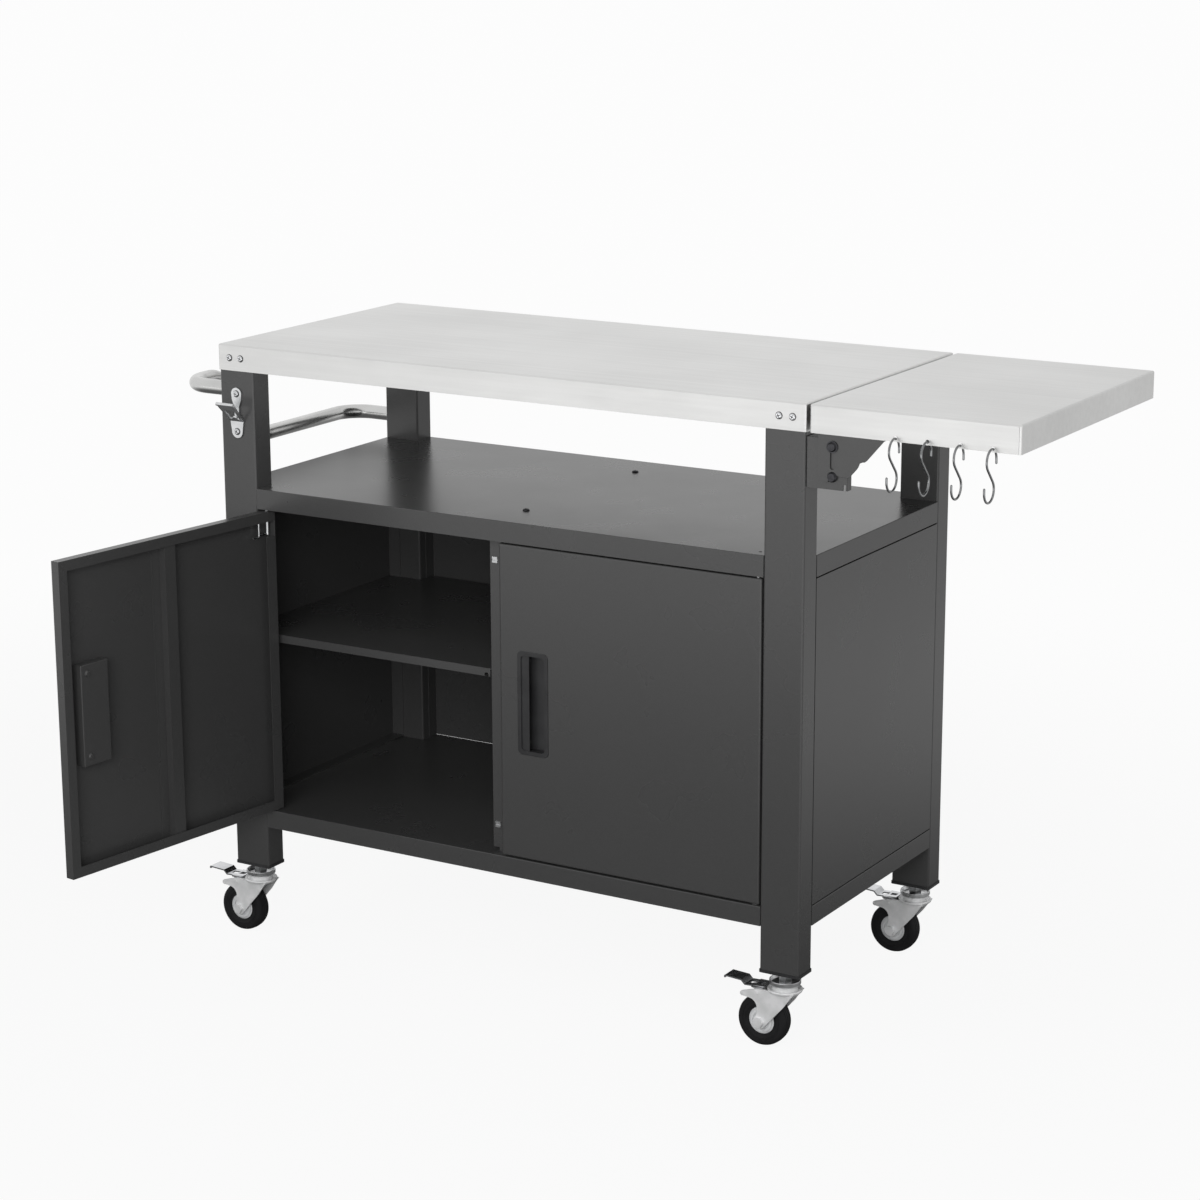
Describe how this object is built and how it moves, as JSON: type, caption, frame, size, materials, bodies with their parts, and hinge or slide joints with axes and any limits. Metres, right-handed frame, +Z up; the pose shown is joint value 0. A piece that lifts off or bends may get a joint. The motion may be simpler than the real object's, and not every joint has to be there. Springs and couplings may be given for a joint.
{
  "type": "grill cart with storage",
  "caption": "Rolling outdoor grill cart with a brushed steel worktop, folding side leaf, two-door cabinet, side rail and braked swivel casters.",
  "frame": {"origin": "on the floor under the centre of the worktop", "axes": "+Z up, +X along the worktop towards the side leaf, -Y the front with the doors"},
  "size_m": [1.3518, 0.8558, 0.908],
  "materials": {
    "brushed_top": "brushed",
    "brushed_tube": "satin",
    "dark_paint": "satin textured powder coat",
    "dark_fitting": "satin",
    "bright_plate": "polished",
    "zinc": "bright zinc",
    "black_plastic": "matte",
    "caster_tread": "matte"
  },
  "bodies": {
    "frame": {"worktop": "brushed_top", "worktop_stiffeners": "zinc", "leg_front_left": "dark_paint", "leg_front_right": "dark_paint", "leg_rear_left": "dark_paint", "leg_rear_right": "dark_paint", "leg_end_caps": "black_plastic", "storage_top": "dark_paint", "storage_top_stiffener": "dark_paint", "bottom_panel": "dark_paint", "side_panel_left": "dark_paint", "side_panel_right": "dark_paint", "back_panel": "dark_paint", "centre_stile": "dark_paint", "door_catches": "zinc", "inner_shelf": "dark_paint", "shelf_supports": "dark_paint", "side_rail": "brushed_tube", "rail_bolts": "zinc", "bottle_opener": "bright_plate", "leg_bracket_front": "dark_fitting", "leg_bracket_rear": "dark_fitting", "leaf_stop_screws": "dark_fitting", "caster_stems": "zinc", "bright_screws": "bright_plate", "dark_screws": "dark_fitting"},
    "leaf_pivot": {"leaf_pivot_screws": "dark_fitting"},
    "side_leaf": {"side_leaf": "brushed_top", "leaf_stiffener": "zinc", "leaf_plate_front": "dark_fitting", "leaf_plate_rear": "dark_fitting"},
    "door_left": {"door_left": "dark_paint", "door_left_stiffener": "dark_paint", "door_left_pull": "black_plastic", "door_left_pull_cover": "dark_paint", "door_left_hinge_fittings": "dark_fitting"},
    "hinge_pin_left": {"door_left_spring_pin": "dark_fitting"},
    "door_right": {"door_right": "dark_paint", "door_right_stiffener": "dark_paint", "door_right_pull": "black_plastic", "door_right_pull_cover": "dark_paint", "door_right_hinge_fittings": "dark_fitting"},
    "hinge_pin_right": {"door_right_spring_pin": "dark_fitting"},
    "hook_1": {"s_hook_1": "bright_plate"},
    "hook_2": {"s_hook_2": "bright_plate"},
    "hook_3": {"s_hook_3": "bright_plate"},
    "hook_4": {"s_hook_4": "bright_plate"},
    "fork_front_left": {"caster_fork_front_left": "zinc"},
    "wheel_front_left": {"caster_wheel_front_left": "caster_tread"},
    "pedal_front_left": {"brake_pedal_front_left": "zinc"},
    "fork_front_right": {"caster_fork_front_right": "zinc"},
    "wheel_front_right": {"caster_wheel_front_right": "caster_tread"},
    "pedal_front_right": {"brake_pedal_front_right": "black_plastic"},
    "fork_rear_left": {"caster_fork_rear_left": "zinc"},
    "wheel_rear_left": {"caster_wheel_rear_left": "caster_tread"},
    "pedal_rear_left": {"brake_pedal_rear_left": "zinc"},
    "fork_rear_right": {"caster_fork_rear_right": "zinc"},
    "wheel_rear_right": {"caster_wheel_rear_right": "caster_tread"},
    "pedal_rear_right": {"brake_pedal_rear_right": "zinc"}
  },
  "joints": [
    {"name": "left_door_swing", "type": "hinge", "parent": "frame", "child": "door_left", "pos_m": [-0.4078, -0.2193, 0.437], "axis": [0, 0, 1], "range_deg": [-7, 98]},
    {"name": "right_door_swing", "type": "hinge", "parent": "frame", "child": "door_right", "pos_m": [0.4078, -0.2193, 0.437], "axis": [0, 0, 1], "range_deg": [0, 105]},
    {"name": "left_pin_slide", "type": "slide", "parent": "door_left", "child": "hinge_pin_left", "axis": [0, 0, 1], "range_m": [-0.009, 0], "stiffness_N_per_m": 300, "springref_m": 0.004},
    {"name": "right_pin_slide", "type": "slide", "parent": "door_right", "child": "hinge_pin_right", "axis": [0, 0, 1], "range_m": [-0.009, 0], "stiffness_N_per_m": 300, "springref_m": 0.004},
    {"name": "leaf_fold", "type": "hinge", "parent": "frame", "child": "leaf_pivot", "pos_m": [0.5178, 0, 0.8543], "axis": [0, 1, 0], "range_deg": [0, 90]},
    {"name": "leaf_lift", "type": "slide", "parent": "leaf_pivot", "child": "side_leaf", "axis": [0, 0, 1], "range_m": [0, 0.027]},
    {"name": "hook_1_swing", "type": "hinge", "parent": "side_leaf", "child": "hook_1", "pos_m": [0.6075, -0.2279, 0.87385], "axis": [0, 1, 0], "range_deg": [-35, 22]},
    {"name": "hook_2_swing", "type": "hinge", "parent": "side_leaf", "child": "hook_2", "pos_m": [0.6525, -0.2279, 0.87385], "axis": [0, 1, 0], "range_deg": [-35, 35]},
    {"name": "hook_3_swing", "type": "hinge", "parent": "side_leaf", "child": "hook_3", "pos_m": [0.6975, -0.2279, 0.87385], "axis": [0, 1, 0], "range_deg": [-35, 35]},
    {"name": "hook_4_swing", "type": "hinge", "parent": "side_leaf", "child": "hook_4", "pos_m": [0.7425, -0.2279, 0.87385], "axis": [0, 1, 0], "range_deg": [-35, 35]},
    {"name": "swivel_front_left", "type": "hinge", "parent": "frame", "child": "fork_front_left", "pos_m": [-0.4488, -0.2083, 0.086], "axis": [0, 0, 1], "continuous": true},
    {"name": "roll_front_left", "type": "hinge", "parent": "fork_front_left", "child": "wheel_front_left", "pos_m": [-0.4798, -0.2083, 0.0375], "axis": [0, 1, 0], "continuous": true},
    {"name": "brake_front_left", "type": "hinge", "parent": "fork_front_left", "child": "pedal_front_left", "pos_m": [-0.4848, -0.2083, 0.0795], "axis": [0, 1, 0], "range_deg": [-12, 0]},
    {"name": "swivel_front_right", "type": "hinge", "parent": "frame", "child": "fork_front_right", "pos_m": [0.4488, -0.2083, 0.086], "axis": [0, 0, 1], "continuous": true},
    {"name": "roll_front_right", "type": "hinge", "parent": "fork_front_right", "child": "wheel_front_right", "pos_m": [0.4178, -0.2083, 0.0375], "axis": [0, 1, 0], "continuous": true},
    {"name": "brake_front_right", "type": "hinge", "parent": "fork_front_right", "child": "pedal_front_right", "pos_m": [0.4128, -0.2083, 0.0795], "axis": [0, 1, 0], "range_deg": [-12, 0]},
    {"name": "swivel_rear_left", "type": "hinge", "parent": "frame", "child": "fork_rear_left", "pos_m": [-0.4488, 0.2083, 0.086], "axis": [0, 0, 1], "continuous": true},
    {"name": "roll_rear_left", "type": "hinge", "parent": "fork_rear_left", "child": "wheel_rear_left", "pos_m": [-0.4798, 0.2083, 0.0375], "axis": [0, 1, 0], "continuous": true},
    {"name": "brake_rear_left", "type": "hinge", "parent": "fork_rear_left", "child": "pedal_rear_left", "pos_m": [-0.4848, 0.2083, 0.0795], "axis": [0, 1, 0], "range_deg": [-12, 0]},
    {"name": "swivel_rear_right", "type": "hinge", "parent": "frame", "child": "fork_rear_right", "pos_m": [0.4488, 0.2083, 0.086], "axis": [0, 0, 1], "continuous": true},
    {"name": "roll_rear_right", "type": "hinge", "parent": "fork_rear_right", "child": "wheel_rear_right", "pos_m": [0.4178, 0.2083, 0.0375], "axis": [0, 1, 0], "continuous": true},
    {"name": "brake_rear_right", "type": "hinge", "parent": "fork_rear_right", "child": "pedal_rear_right", "pos_m": [0.4128, 0.2083, 0.0795], "axis": [0, 1, 0], "range_deg": [-12, 0]}
  ],
  "couplings": [
    {"joint": "leaf_lift", "follows": "leaf_fold", "m_per_rad": 0.017189}
  ]
}
